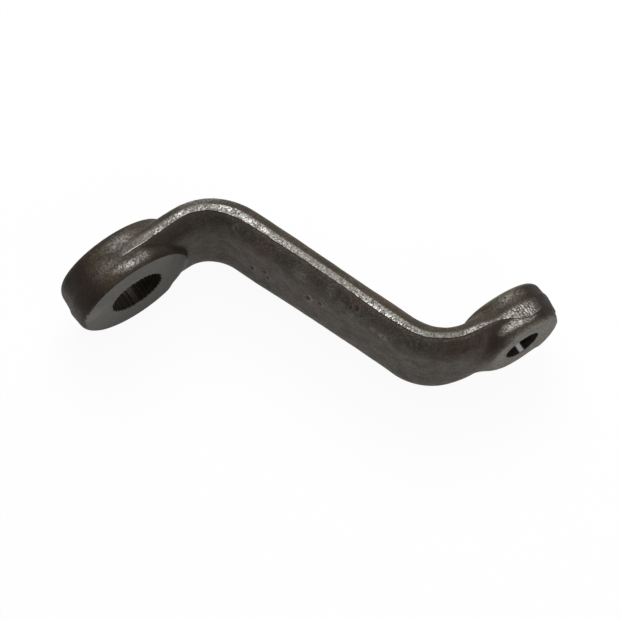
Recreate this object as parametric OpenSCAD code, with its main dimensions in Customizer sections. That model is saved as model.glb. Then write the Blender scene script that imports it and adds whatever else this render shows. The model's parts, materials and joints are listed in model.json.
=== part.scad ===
// Drop pitman arm, forged in one piece: a wide flat bar bent twice into an S between
// a big eye with a serrated bore and a small eye with a tapered bore.
// Millimetres. +Z is up across the width of the bar, the big bore runs along Y, the front of
// the arm looks to -Y, and the origin is the middle of the serrated bore.

/* [Arm] */
// Distance along X from the middle of the big bore to that of the bar at the small one
reach = 150; // [140:1:165]
// Distance along Y by which the bar at the small bore stands in front of the big one
drop = 137.5; // [125:0.5:150]
// Width of the bar over its flash lands
bar_width = 65.5; // [60:0.5:67]
// Thickness of the bar
bar_thick = 18; // [15:0.5:19]
// Radius of the middle line in the bend beside the big eye
big_bend = 31; // [28:0.5:36]
// Radius of the middle line in the bend beside the small eye
small_bend = 32; // [28:0.5:36]
// Angle by which the small eye stays turned out of line with the big eye
small_tilt = 2.5; // [0:0.5:6]

/* [Forging] */
// Height of the trimmed flash land along every edge
flash_land = 4.4; // [3:0.2:6]
// How far the rounding of the bar's edges reaches in from the land
edge_round = 15; // [10:0.5:18]
// Draft angle on the walls of the eyes
draft = 7; // [3:0.5:10]
// Radius between the wall of an eye and its machined face
rim_round = 5; // [4:0.5:6]
// Radius of the fillet between the bar and the big eye
big_fillet = 3; // [2:0.5:4]
// Radius of the fillet between the bar and the back of the small eye
small_fillet = 7; // [4:0.5:9]
// Radius of the wide fillet between the bar and the front of the small eye
small_ramp = 12; // [8:0.5:16]

/* [Big eye] */
// Outer diameter of the big eye at its flash land
big_outer = 69; // [68:0.5:72]
// Diameter of its machined faces
big_face = 63.5; // [62:0.5:65]
// Thickness of the big eye between its machined faces
big_thick = 24; // [22:0.5:28]
// Straight length of the bar from the big bore's axis to its bend
big_straight = 34.5; // [32:0.5:40]
// Diameter of the serrated bore over the tips of its teeth
tip_bore = 30.4; // [28:0.1:32]
// Depth of the serrations
tooth_depth = 0.75; // [0.5:0.05:1]
// Number of tooth positions around the bore
tooth_count = 36; // [24:4:48]
// Number of master lands, each in place of one groove
master_count = 4; // [1, 2, 4]

/* [Small eye] */
// Outer diameter of the small eye at its flash land
small_outer = 50; // [49:0.5:54]
// Diameter of its machined faces
small_face = 45; // [43:0.5:46]
// Thickness of the small eye between its machined faces
small_thick = 24; // [23:0.5:27]
// How far the small eye is set forward of the middle of the bar
small_shift = 1.2; // [0:0.1:2]
// Straight length of the bar from the small bore's axis to its bend
small_straight = 23.5; // [21:0.5:26]
// Diameter of the tapered bore at the front face
taper_large = 20.4; // [18:0.1:24]
// Taper on the diameter, as length for each millimetre of change
taper_ratio = 8; // [6:0.5:12]

/* [Hidden] */
$fn = 96;

// Steps along the path and steps around each rounded edge of the lofted bar
loft_steps = 90;
edge_steps = 6;
// Angle at which an edge rounding leaves the flash land, so that the land keeps a clear border
land_angle = 80;
// Overlap of pieces of the forging into each other and overrun of the cutting tools
sink = 0.3;
overrun = 1;
// Depth by which a fillet dips into the two surfaces that it joins
dip = 0.1;
// Length of bar that each fillet may climb on, steps along it and distance that it keeps from the lands
blend_length = 16;
blend_steps = 12;
blend_inset = 3;
// Length over which the bar narrows to the small eye and where that ends before the bore's axis
neck_length = 58;
neck_end = 2;
// Share of one tooth pitch that a groove takes at the bore and at its root
groove_mouth = 0.72;
groove_root = 0.2;

bar_half = bar_width / 2;
half_thick = bar_thick / 2;
half_land = flash_land / 2;
big_r = big_outer / 2;
small_r = small_outer / 2;
big_high = big_thick / 2;
small_at = [reach, -drop];
small_front = small_thick / 2 + small_shift;
small_back = small_thick / 2 - small_shift;

// Direction of the bar at heading a below the X axis and of its front side
function along(a) = [cos(a), -sin(a)];
function ahead(a) = [-sin(a), -cos(a)];

// The strut is the inner tangent of the two bend circles
bend_1 = big_straight * along(0) + big_bend * ahead(0);
bend_2 = small_at - small_straight * along(small_tilt) - small_bend * ahead(small_tilt);
bend_step = bend_2 - bend_1;
bend_gap = norm(bend_step);
strut_angle = atan2(-bend_step[1], bend_step[0]) + asin((big_bend + small_bend) / bend_gap);
strut_length = sqrt(bend_gap ^ 2 - (big_bend + small_bend) ^ 2);

// Path length at the end of each stretch of the bar's middle line
path_1 = big_straight;
path_2 = path_1 + big_bend * strut_angle * PI / 180;
path_3 = path_2 + strut_length;
path_4 = path_3 + small_bend * (strut_angle - small_tilt) * PI / 180;
path_end = path_4 + small_straight;
neck_start = path_end - neck_end - neck_length;

function ease(t) = let (u = min(max(t, 0), 1)) u * u * (3 - 2 * u);
function cove(t) = let (u = min(max(t, 0), 1)) 1 - sqrt(1 - u * u);

// Heading below the X axis at path length s
function heading(s) =
    s < path_1 ? 0 :
    s < path_2 ? (s - path_1) / big_bend * 180 / PI :
    s < path_3 ? strut_angle :
    s < path_4 ? small_tilt + (path_4 - s) / small_bend * 180 / PI : small_tilt;

// Point of the middle line at path length s
function middle(s) =
    let (a = heading(s))
    s < path_1 ? s * along(a) :
    s < path_2 ? bend_1 - big_bend * ahead(a) :
    s < path_3 ? bend_1 - big_bend * ahead(a) + (s - path_2) * along(a) :
    bend_2 + small_bend * ahead(a) + max(s - path_4, 0) * along(a);

// Half width of the bar, running out tangent to both eyes
function half_width(s) =
    s < path_1 ? bar_half + (big_r - sink - bar_half) * ease(1 - s / path_1) :
    bar_half + (small_r - sink - bar_half) * ease((s - neck_start) / neck_length);

// Height over the bar of the swelling that carries the fillet beside an eye, d before the eye's face
function swell(d, high) = max(high - half_thick, 0) * cove(1 - d / blend_length);

// Half thickness of the bar, or of the swelling inside it, on the side with these eye heights
function half_height(s, big_side, small_side, swollen) =
    swollen ? half_thick - sink
        + swell(s - big_face / 2, big_side)
        + swell(path_end - s - small_face / 2, small_side)
    : half_thick;

// Rounded edge from the flash land over to the face, as [height, width] pairs
function edge(w, h) = [
    for (i = [0 : edge_steps])
        let (t = land_angle * (1 - i / edge_steps))
        [h - (h - half_land) * (1 - cos(t)) / (1 - cos(land_angle)),
         w - edge_round * (1 - sin(t) / sin(land_angle))]
];

function turned(list) = [for (i = [len(list) - 1 : -1 : 0]) list[i]];

// Whole section of the bar, once around, as [height towards the front, width] pairs
function section(s, swollen) =
    let (w = half_width(s) - (swollen ? blend_inset : 0))
    let (front = edge(w, half_height(s, big_high, small_front, swollen)))
    let (back = edge(w, half_height(s, big_high, small_back, swollen)))
    concat(
        front,
        [for (p = turned(front)) [p[0], -p[1]]],
        [for (p = back) [-p[0], -p[1]]],
        [for (p = turned(back)) [-p[0], p[1]]]
    );

// The section set square to the middle line
function ring(s, swollen) =
    let (m = middle(s), out = ahead(heading(s)))
    [for (p = section(s, swollen)) [m[0] + p[0] * out[0], m[1] + p[0] * out[1], p[1]]];

// Stretch of the bar lofted through rings of equal count along the path
module bar(from, to, steps, swollen = false) {
    rings = [for (i = [0 : steps]) ring(from + (to - from) * i / steps, swollen)];
    count = len(rings[0]);
    sides = [
        for (i = [0 : steps - 1], j = [0 : count - 1])
            let (k = (j + 1) % count)
            each [
                [i * count + j, (i + 1) * count + k, i * count + k],
                [i * count + j, (i + 1) * count + j, (i + 1) * count + k]
            ]
    ];
    start = [for (j = [0 : count - 1]) j];
    end = [for (j = [count - 1 : -1 : 0]) steps * count + j];
    polyhedron([for (r = rings) each r], concat([start], sides, [end]));
}

// Height of the middle of the rim rounding that touches the drafted wall and ends at the face's border
function rim_middle(r, face_r, high) =
    let (t = tan(draft))
    let (q = r + half_land * t - rim_round / cos(draft) - face_r)
    let (m = q * t + high)
    (m - sqrt(m ^ 2 - (1 + t ^ 2) * (q ^ 2 + high ^ 2 - rim_round ^ 2))) / (1 + t ^ 2);

// Distance from the bore's axis of the middle of that rounding
function rim_reach(r, face_r, high) =
    r - (rim_middle(r, face_r, high) - half_land) * tan(draft) - rim_round / cos(draft);

// Half profile of one side of an eye, from its middle plane up to the machined face
module eye_side(r, face_r, high) {
    y = rim_middle(r, face_r, high);
    x = rim_reach(r, face_r, high);
    polygon([
        [0, 0],
        [r, 0],
        [r, half_land],
        [x + rim_round * cos(draft), y + rim_round * sin(draft)],
        [face_r, high],
        [0, high]
    ]);
    intersection() {
        translate([x, y])
            circle(rim_round);
        square([r, high]);
    }
}

// Eye turned about its bore, with its front face up
module eye(r, face_r, front, back) {
    rotate_extrude() {
        eye_side(r, face_r, front);
        mirror([0, 1])
            eye_side(r, face_r, back);
    }
}

// Half profile of the fillet that touches the rim rounding of an eye and the face of the bar
module fillet_side(r, face_r, high, radius) {
    y = rim_middle(r, face_r, high);
    x = rim_reach(r, face_r, high);
    lift = half_thick + radius - dip;
    foot = x + sqrt(max((rim_round + radius - dip) ^ 2 - (lift - y) ^ 2, 0));
    difference() {
        polygon([[0, 0], [foot, 0], [foot, lift], [x, y], [0, y]]);
        translate([foot, lift])
            circle(radius);
    }
}

// Fillets on both sides of an eye, turned about its bore
module fillets(r, face_r, front, back, front_radius, back_radius) {
    rotate_extrude() {
        fillet_side(r, face_r, front, front_radius);
        mirror([0, 1])
            fillet_side(r, face_r, back, back_radius);
    }
}

// What is turned about a bore, set with its front up on that bore's axis
module at_big_eye() {
    rotate([90, 0, 0])
        children();
}

module at_small_eye() {
    translate(small_at)
        rotate([90, 0, -small_tilt])
            children();
}

// Outline of the serrated bore, with a smooth land in place of each master groove
module serration() {
    pitch = 360 / tooth_count;
    tip_r = tip_bore / 2;
    root_r = tip_r + tooth_depth;
    mouth = tip_r * sin(pitch * groove_mouth / 2);
    root = root_r * sin(pitch * groove_root / 2);
    circle(tip_r);
    for (i = [0 : tooth_count - 1])
        if (i % (tooth_count / master_count) != 0)
            rotate(i * pitch)
                polygon([[tip_r / 2, -mouth], [tip_r * cos(pitch * groove_mouth / 2), -mouth],
                         [root_r, -root], [root_r, root],
                         [tip_r * cos(pitch * groove_mouth / 2), mouth], [tip_r / 2, mouth]]);
}

// Tapered bore through the small eye, wide at the front
module taper_cut() {
    length = small_thick + 2 * overrun;
    grow = overrun / taper_ratio;
    translate([0, 0, -small_back - overrun])
        cylinder(h = length, d1 = taper_large - small_thick / taper_ratio - grow, d2 = taper_large + grow);
}

module pitman_arm() {
    color([0.27, 0.26, 0.25])
    difference() {
        union() {
            bar(0, path_end, loft_steps);
            at_big_eye()
                eye(big_r, big_face / 2, big_high, big_high);
            at_small_eye()
                eye(small_r, small_face / 2, small_front, small_back);
            intersection() {
                bar(big_r / 2, big_face / 2 + blend_length, blend_steps, true);
                at_big_eye()
                    fillets(big_r, big_face / 2, big_high, big_high, big_fillet, big_fillet);
            }
            intersection() {
                bar(path_end - small_face / 2 - blend_length, path_end - small_r / 2, blend_steps, true);
                at_small_eye()
                    fillets(small_r, small_face / 2, small_front, small_back, small_ramp, small_fillet);
            }
        }
        at_big_eye()
            translate([0, 0, -big_high - overrun])
                linear_extrude(big_thick + 2 * overrun)
                    serration();
        at_small_eye()
            taper_cut();
    }
}

pitman_arm();
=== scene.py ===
import json
import math

import bpy
import numpy as np
from mathutils import Matrix, Vector, noise


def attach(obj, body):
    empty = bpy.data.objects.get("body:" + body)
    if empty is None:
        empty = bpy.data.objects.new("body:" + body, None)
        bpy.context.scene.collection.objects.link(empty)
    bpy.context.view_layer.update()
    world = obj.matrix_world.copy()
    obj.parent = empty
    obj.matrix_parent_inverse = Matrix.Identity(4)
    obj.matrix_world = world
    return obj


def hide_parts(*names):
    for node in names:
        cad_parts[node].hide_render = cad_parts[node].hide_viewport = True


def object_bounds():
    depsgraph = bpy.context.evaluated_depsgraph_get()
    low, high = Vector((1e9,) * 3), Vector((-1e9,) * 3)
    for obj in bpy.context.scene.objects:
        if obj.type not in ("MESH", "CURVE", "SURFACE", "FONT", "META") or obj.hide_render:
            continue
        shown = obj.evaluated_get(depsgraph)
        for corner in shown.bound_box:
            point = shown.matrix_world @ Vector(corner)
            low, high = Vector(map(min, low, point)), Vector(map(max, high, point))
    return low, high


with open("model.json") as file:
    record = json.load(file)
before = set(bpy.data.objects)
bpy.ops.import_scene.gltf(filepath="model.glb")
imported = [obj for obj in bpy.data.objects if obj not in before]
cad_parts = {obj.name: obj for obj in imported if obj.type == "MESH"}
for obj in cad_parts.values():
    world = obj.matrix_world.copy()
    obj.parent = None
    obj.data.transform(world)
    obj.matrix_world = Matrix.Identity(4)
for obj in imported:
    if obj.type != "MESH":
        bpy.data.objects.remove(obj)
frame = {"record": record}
cad_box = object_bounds()

# The arm's middle line and outline
# The arm is one steel forging, struck between two dies and bent twice into an S while still hot.
# Its form is laid out in millimetres over the unrolled bar: s runs along the middle line from the
# axis of the big eye, z across the bar, and n stands off the middle plane towards the front.
mounts = {mount["name"]: mount for mount in frame["record"]["mounts"]}
shaft_bore = mounts["sector_shaft_bore"]["dims"]
stud_seat = np.array(mounts["ball_stud_taper"]["pos_m"]) * 1000
stud_axis = np.array(mounts["ball_stud_taper"]["axis"])
joint_seat = np.array(mounts["ball_joint_face"]["pos_m"]) * 1000
nut_seat = np.array(mounts["stud_nut_face"]["pos_m"]) * 1000
small_tilt = math.atan2(-stud_axis[0], -stud_axis[1])
small_thick = float((joint_seat - nut_seat) @ stud_axis)
small_shift = 1.2
small_at = stud_seat - (small_thick / 2 + small_shift) * stud_axis
bar_half = 32.75
half_thick = 9.0
big_straight, big_bend = 34.5, 31.0
small_straight, small_bend = 23.5, 32.0
big_r, small_r = 34.5, 25.0
neck_length, neck_end = 58.0, 2.0

bend_dx = (small_at[0] - small_straight * math.cos(small_tilt) + small_bend * math.sin(small_tilt)
           - big_straight)
bend_dy = (-small_at[1] - small_straight * math.sin(small_tilt) - small_bend * math.cos(small_tilt)
           - big_bend)
bend_gap = math.hypot(bend_dx, bend_dy)
strut_angle = math.atan2(bend_dy, bend_dx) + math.asin((big_bend + small_bend) / bend_gap)
strut_length = math.sqrt(bend_gap**2 - (big_bend + small_bend) ** 2)
path_1 = big_straight
path_2 = path_1 + big_bend * strut_angle
path_3 = path_2 + strut_length
path_4 = path_3 + small_bend * (strut_angle - small_tilt)
path_end = path_4 + small_straight
neck_start = path_end - neck_end - neck_length


def ease(t):
    """Smooth run from 0 to 1 as t goes from 0 to 1."""
    u = np.clip(t, 0, 1)
    return u * u * (3 - 2 * u)


def rise(value, start, over):
    """Smooth run from 0 to 1 as a value grows past a start, over a length."""
    return ease((value - start) / over)


def arm_point(s, z, n):
    """Place in the arm's own frame, in millimetres, of a point given over the unrolled bar."""
    first = np.clip(s, None, path_1)
    turn_1 = np.clip((s - path_1) / big_bend, 0, strut_angle)
    strut = np.clip(s - path_2, 0, strut_length)
    turn_2 = np.clip((s - path_3) / small_bend, 0, strut_angle - small_tilt)
    last = np.clip(s - path_4, 0, None)
    x = first + big_bend * np.sin(turn_1) + strut * math.cos(strut_angle) + last * math.cos(small_tilt)
    x = x + small_bend * (math.sin(strut_angle) - np.sin(strut_angle - turn_2))
    y = -big_bend * (1 - np.cos(turn_1)) - strut * math.sin(strut_angle) - last * math.sin(small_tilt)
    y = y - small_bend * (np.cos(strut_angle - turn_2) - math.cos(strut_angle))
    heading = turn_1 - turn_2
    return np.stack([x - n * np.sin(heading), y - n * np.cos(heading), z + 0 * s], -1)


def half_width(s):
    """Half of the bar's width at a place along the middle line."""
    towards_big = bar_half + (big_r - bar_half) * ease(1 - s / path_1)
    towards_small = bar_half + (small_r - bar_half) * rise(s, neck_start, neck_length)
    return np.where(s < path_1, towards_big, towards_small)


# The trimmed flash
# Steel squeezed out between the dies was sheared off in a trimming press. It leaves a bright, torn
# land along both edges, wide on the strut, narrow in the second bend, and torn into a tall leaf at
# the upper side of the small eye. Places along it are path lengths, run on round the eyes.
upper_front = [
    (-6, 0.25), (-3.6, 0.4), (-2.2, 2.2), (10, 2.0), (20, 1.5), (32, 0.9), (40, 0.9), (50, 1.2), (58, 2.0),
    (66, 2.5), (76, 2.0), (90, 1.8), (110, 1.5), (135, 1.7), (150, 2.3), (160, 2.4), (172, 2.0), (183, 1.5),
    (190, 0.8), (198, 0.5), (206, 0.2), (219, 0.4), (223, 0.9), (226, 1.6), (231, 3.6), (235, 6.3),
    (239, 7.9), (243.5, 7.9), (248, 7.3), (252, 5.0), (256, 0.4), (258, 0.25)]
upper_back = [
    (-3, 0.25), (-0.5, 0.4), (2, 2.6), (4, 2.6), (20, 2.5), (34, 3.0), (50, 2.9), (64, 2.5), (80, 2.5),
    (130, 2.5), (148, 2.0), (175, 2.0), (186, 2.2), (193, 3.0), (204, 3.1), (212, 2.6), (217, 2.0),
    (221, 0.9), (225, 0.4), (229, 0.8), (236, 1.6), (245, 1.1), (251, 0.6), (256, 0.25)]
lower_land = [
    (-8, 0.25), (-3, 0.5), (0, 2.0), (6, 2.2), (188, 2.1), (204, 1.5), (222, 1.1), (232, 0.9), (240, 0.25)]
flash_stand, least_stand = 0.35, 0.08
stand_start, stand_in = -4, 4
stand_end, stand_out = 254, 14
ragged, smooth_below = 0.22, 0.3
slow_wander, slow_seed = 2.6, (7.3, 1.7)
quick_wander, quick_seed, quick_share = 1.1, (3.1, 5.2), 0.6
torn_start, torn_end_upper, torn_end_lower = -3, 250.5, 234


def fall(value, end, over):
    """Smooth run from 1 to 0 as a value grows up to an end, over a length."""
    return ease((end - value) / over)


def land(along, upper, front):
    """Height of the torn land's border off the parting plane, on one edge and one side of it."""
    shape = np.array((upper_front if front else upper_back) if upper else lower_land)
    height = np.interp(along, shape[:, 0], shape[:, 1])
    side = (1 if upper else 2) * (1 if front else -1)

    def wander(place):
        slow = noise.noise(Vector((place / slow_wander, side * slow_seed[0], slow_seed[1])))
        quick = noise.noise(Vector((place / quick_wander, side * quick_seed[0], quick_seed[1])))
        return slow + quick_share * quick

    return height + ragged * np.vectorize(wander)(along) * ease(height - smooth_below)


def stand(along):
    """How far the land stands out of the forged edge."""
    share = rise(along, stand_start, stand_in) * fall(along, stand_end, stand_out)
    return least_stand + (flash_stand - least_stand) * share


# The forged body
# Bar, eyes and the rounded corners between them came out of the dies as one skin. Each eye is built
# on spokes from its faced rim out to the edge of the bar, and rings across the bar join the eyes.
SCALE, TORN, TURNED, BROACHED, REAMED = range(5)
edge_round, edge_power, height_power = 22.0, 3, 1.8
draft = math.radians(7)
rim_round = 5.0
full_land, land_blend = 2.2, 6.0
eye_sizes = {
    "big": {
        "start": 0, "sign": 1, "r": big_r, "face": 31.75, "face_finish": TURNED,
        "front": shaft_bore["length_mm"] / 2, "back": shaft_bore["length_mm"] / 2,
        "front_fillet": 2.0, "back_fillet": 3.0,
        "soft_angle": math.radians(-24), "soft_reach": math.radians(16), "soft_fade": 0.25,
        "section": 48.0, "around": 128, "beside": 64, "face_rings": 5},
    "small": {
        "start": path_end, "sign": -1, "r": small_r, "face": 22.5, "face_finish": SCALE,
        "front": small_thick / 2 + small_shift, "back": small_thick / 2 - small_shift,
        "front_fillet": 12.0, "back_fillet": 7.0,
        "soft_angle": math.radians(-25), "soft_reach": math.radians(75), "soft_fade": 0.45,
        "section": 42.0, "around": 110, "beside": 60, "face_rings": 6},
}
soft_length, soft_steps = 2.2, 60
soft_in, soft_keep, soft_out = 3, 5, 6
face_ring = 1.0
across, rings, land_rows, stations = 84, 26, 8, 204
profile_step, fine_cuts = 0.1, 2001
no_skin = -1e3
edge_slack, hair = 0.05, 1e-6
guard, settle_rounds = 0.1, 40


def on_path(eye, distance):
    """Place along the middle line at a distance from an eye's axis towards the bar."""
    return eye["start"] + eye["sign"] * distance


def edge_height(inside, low):
    """Height of the bar's rounded edge at a distance inside its land."""
    short = np.clip(1 - inside / edge_round, 0, 1)
    return low + (half_thick - low) * (1 - short**edge_power) ** (1 / height_power)


def bar_height(inside, low):
    """Height of the bar's skin, its rounded edge eased to the border of the land."""
    return edge_height(inside, full_land) + (low - full_land) * ease(1 - inside / land_blend)


def wall_height(rho, eye, high, low):
    """Height of an eye's drafted wall, rim rounding and faced top at a distance from its axis."""
    r, face, t = eye["r"], eye["face"], math.tan(draft)
    q = r + full_land * t - rim_round / math.cos(draft) - face
    m = q * t + high
    rim_n = (m - math.sqrt(m**2 - (1 + t**2) * (q**2 + high**2 - rim_round**2))) / (1 + t**2)
    rim_rho = r - (rim_n - full_land) * t - rim_round / math.cos(draft)
    touch_rho = rim_rho + rim_round * math.cos(draft)
    touch_n = rim_n + rim_round * math.sin(draft)
    wall = low + (r - rho) / (r - touch_rho) * (touch_n - low)
    rim = rim_n + np.sqrt(np.clip(rim_round**2 - (rho - rim_rho) ** 2, 0, None))
    return np.where(rho > touch_rho, wall, np.minimum(rim, high))


def rolled(profile, radius):
    """The profiles with every hollow filled by a ball of that radius rolled along them."""
    reach_steps = int(radius / profile_step)
    offsets = np.arange(-reach_steps, reach_steps + 1)
    cap = np.sqrt(radius**2 - (offsets * profile_step) ** 2)
    margin = ((0, 0), (reach_steps, reach_steps))
    raised, settled = np.full(profile.shape, no_skin), np.full(profile.shape, -no_skin)
    padded = np.pad(profile, margin, constant_values=no_skin)
    for first, height in enumerate(cap):
        raised = np.maximum(raised, padded[:, first: first + profile.shape[1]] + height)
    padded = np.pad(raised, margin, constant_values=-no_skin)
    for first, height in enumerate(cap):
        settled = np.minimum(settled, padded[:, first: first + profile.shape[1]] - height)
    return settled


def section_shares():
    """Shares of the half width at which the bar's section is cut, even along its skin."""
    fine = np.linspace(-1, 1, fine_cuts)
    height = edge_height(bar_half - flash_stand - np.abs(fine) * (bar_half - flash_stand), full_land)
    length = np.r_[0, np.cumsum(np.hypot(np.diff(fine * bar_half), np.diff(height)))]
    inner = np.interp(np.linspace(0, length[-1], across - 1), length, fine) * (1 - flash_stand / bar_half)
    return np.r_[-1, inner, 1]


def eye_spokes(eye):
    """Angle, whether on the cut, edge place and side of an eye's spokes, from the bar's lower corner."""
    cut = eye["section"]
    section_angle = np.arctan2(section_shares() * half_width(on_path(eye, cut)), cut)
    beside = cut * (1 - np.arange(1, eye["beside"] + 1) / eye["beside"])
    beside_angle = np.arctan2(half_width(on_path(eye, beside)), beside)
    around_angle = np.linspace(math.pi / 2, 1.5 * math.pi, eye["around"] + 1)[1:-1]
    angle = np.r_[section_angle, beside_angle, around_angle, -beside_angle[::-1] + 2 * math.pi]
    on_section = np.arange(len(angle)) <= across
    bent = np.where(angle > math.pi, 2 * math.pi - angle, np.abs(angle))
    away = np.clip(bent - math.pi / 2, 0, None) * eye["r"]
    run = np.r_[np.full(across + 1, cut), beside, 0 * around_angle, beside[::-1]]
    along = on_path(eye, run) - eye["sign"] * away
    return angle, on_section, along, np.sin(angle) > 0


def outer_reach(eye, angle, inset):
    """Distance along a spoke from the eye's axis to the outline, drawn in by the inset."""
    found = np.full(len(angle), eye["r"]) - inset
    beside = np.cos(angle) > hair
    for _ in range(settle_rounds):
        wide = half_width(on_path(eye, found * np.cos(angle))) - inset
        found = np.where(beside, 0.5 * found + 0.5 * wide / np.maximum(np.abs(np.sin(angle)), guard), found)
    return found


def bar_side(angle, eye):
    """Share of an eye's front, by angle, that was not struck up full towards the bar."""
    turned = (angle - eye["soft_angle"] + math.pi) % (2 * math.pi) - math.pi
    return ease((eye["soft_reach"] + eye["soft_fade"] - np.abs(turned)) / eye["soft_fade"])


def softened(skin, rho, angle, eye):
    """The skin smoothed where an eye's front runs out towards the bar without a rim."""
    share = bar_side(angle, eye)[:, None] * rise(rho, rho[0], soft_in)
    share = share * ease(1 - (rho - eye["face"] - soft_keep) / soft_out)
    steps = np.arange(-soft_steps, soft_steps + 1)
    weight = np.exp(-((steps * profile_step / soft_length) ** 2) / 2)
    padded = np.pad(np.maximum(skin, 0), ((0, 0), (soft_steps, soft_steps)), mode="edge")
    smooth = sum(part * padded[:, soft_steps + step: soft_steps + step + skin.shape[1]]
                 for step, part in zip(steps, weight / weight.sum()))
    return np.where(skin > no_skin / 10, skin + (smooth - skin) * share, skin)


def eye_skin(eye, front):
    """Points on spokes from the faced rim out to the outline or the cut, as s, z, n and edge place."""
    high = eye["front"] if front else eye["back"]
    angle, on_section, along, upper = eye_spokes(eye)
    low = np.where(upper, land(along, True, front), land(along, False, front))
    inset = stand(along)
    cut_end = eye["section"] / np.maximum(np.cos(angle), guard)
    inner_end = np.where(on_section, cut_end, outer_reach(eye, angle, inset))
    outer_end = np.where(on_section, inner_end, outer_reach(eye, angle, 0 * inset))
    corner = np.isin(np.arange(len(angle)), (0, across))
    inner_end = np.where(corner, inner_end - inset / np.maximum(np.abs(np.sin(angle)), guard), inner_end)
    inner = eye["face"] - face_ring * eye["face_rings"]
    rho = np.arange(inner, inner_end.max() + profile_step, profile_step)
    spread = np.repeat(rho[None], len(angle), 0)
    beside = (np.cos(angle) > hair)[:, None]
    s = on_path(eye, spread * np.cos(angle)[:, None])
    edge_along = np.where(beside, s, along[:, None])
    inside = half_width(s) - stand(edge_along) - np.abs(spread * np.sin(angle)[:, None])
    on_bar = beside & (inside > -edge_slack)
    bar = np.where(on_bar, bar_height(np.clip(inside, 0, None), low[:, None]), no_skin)
    wall = np.where(spread <= eye["r"], wall_height(spread, eye, high, low[:, None]), no_skin)
    skin = rolled(np.maximum(bar, wall), eye["front_fillet"] if front else eye["back_fillet"])
    if front:
        skin = softened(skin, rho, angle, eye)
    cut_wide = half_width(on_path(eye, eye["section"])) - inset
    cut_height = edge_height(np.clip(cut_wide - np.abs(inner_end * np.sin(angle)), 0, None), low)
    on_face = np.linspace(inner, eye["face"], eye["face_rings"] + 1)[:-1]
    points = np.zeros((len(angle), len(on_face) + rings + 1, 4))
    for j, (end, edge) in enumerate(zip(inner_end, outer_end)):
        closed = on_section[j] and not corner[j]
        reached = (rho > eye["face"] - hair) & (rho < end - hair) & (skin[j] > no_skin / 10)
        run = np.r_[rho[reached], end]
        height = np.r_[skin[j][reached], cut_height[j] if closed else low[j]]
        height[0] = np.interp(eye["face"], rho, skin[j])
        length = np.r_[0, np.cumsum(np.hypot(np.diff(run), np.diff(height)))]
        share = np.linspace(0, length[-1], rings + 1 if closed else rings)
        reach_at, height_at = np.interp(share, length, run), np.interp(share, length, height)
        if not closed:
            reach_at, height_at = np.r_[reach_at, edge], np.r_[height_at, low[j]]
        reach_at = np.r_[on_face, reach_at]
        height_at = np.r_[np.interp(on_face, rho, skin[j]), height_at]
        height_at[0] = high
        points[j, :, 0] = on_path(eye, reach_at * math.cos(angle[j]))
        points[j, :, 1] = reach_at * math.sin(angle[j])
        points[j, :, 2] = height_at if front else -height_at
        points[j, :, 3] = points[j, :, 0] if math.cos(angle[j]) > 0 else along[j]
    return points


layout, faces, finishes = [], [], []


def add_points(points):
    """Adds points given as s, z, n and edge place, and returns their numbers in the same layout."""
    first = sum(len(block) for block in layout)
    layout.append(points.reshape(-1, 4))
    return np.arange(first, first + len(layout[-1])).reshape(points.shape[:-1])


def add_quads(a, b, c, d, finish):
    """Adds one quad for each place in four arrays of point numbers."""
    quads = np.stack([np.ravel(a), np.ravel(b), np.ravel(c), np.ravel(d)], 1)
    faces.extend(quads.tolist())
    finishes.extend(np.broadcast_to(finish, np.shape(a)).ravel().tolist())


skins, lands = {}, {}
for name, eye in eye_sizes.items():
    rims = {}
    for front in (True, False):
        points = eye_skin(eye, front)
        numbers = add_points(points)
        ahead = np.roll(numbers, -1, 0)
        faced = np.arange(numbers.shape[1] - 1) < eye["face_rings"]
        ring_finish = np.where(faced, eye["face_finish"], SCALE)
        add_quads(numbers[:, :-1], numbers[:, 1:], ahead[:, 1:], ahead[:, :-1], ring_finish)
        skins[name, front] = numbers
        rims[front] = points[:, -1]
    angle, on_section, along, upper = eye_spokes(eye)
    order = np.r_[np.arange(across, len(angle)), 0]
    share = np.linspace(0, 1, land_rows + 1)[None, 1:-1, None]
    middle = add_points(rims[True][order, None] * (1 - share) + rims[False][order, None] * share)
    lands[name] = np.c_[skins[name, True][order, -1], middle, skins[name, False][order, -1]]
    torn_end = np.where(upper[order], torn_end_upper, torn_end_lower)
    torn = (along[order] > torn_start) & (along[order] < torn_end)
    land_finish = np.where(torn[:-1] & torn[1:], TORN, SCALE)[:, None]
    here, there = lands[name][:-1], lands[name][1:]
    add_quads(here[:, :-1], there[:, :-1], there[:, 1:], here[:, 1:], land_finish)


def eye_cut(name):
    """Point numbers once around the cut where an eye meets the bar."""
    return np.r_[skins[name, True][across::-1, -1], lands[name][-1, 1:-1],
                 skins[name, False][: across + 1, -1], lands[name][0, -2:0:-1]]


shares = section_shares()
corners = np.isin(np.arange(across + 1), (0, across))
first_cut, last_cut = eye_sizes["big"]["section"], path_end - eye_sizes["small"]["section"]
loops = [eye_cut("big")]
for s in np.linspace(first_cut, last_cut, stations + 1)[1:-1]:
    wide = half_width(s)
    inside = np.clip(wide - flash_stand - np.abs(shares) * wide, 0, None)
    sides = []
    for front in (True, False):
        low = np.where(shares > 0, land(s, True, front), land(s, False, front))
        height = np.where(corners, low, bar_height(inside, low))
        at = np.full(len(height), s)
        sides.append(np.stack([at, shares * wide, height if front else -height, at], 1))
    front_side, back_side = sides
    share = np.linspace(0, 1, land_rows + 1)[1:-1, None]
    lower = front_side[0] * (1 - share) + back_side[0] * share
    upper = back_side[-1] * (1 - share) + front_side[-1] * share
    loops.append(add_points(np.concatenate([front_side[::-1], lower, back_side, upper])))
loops = np.array(loops + [eye_cut("small")])
around = np.roll(loops, -1, 1)
place = np.arange(loops.shape[1])
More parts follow.
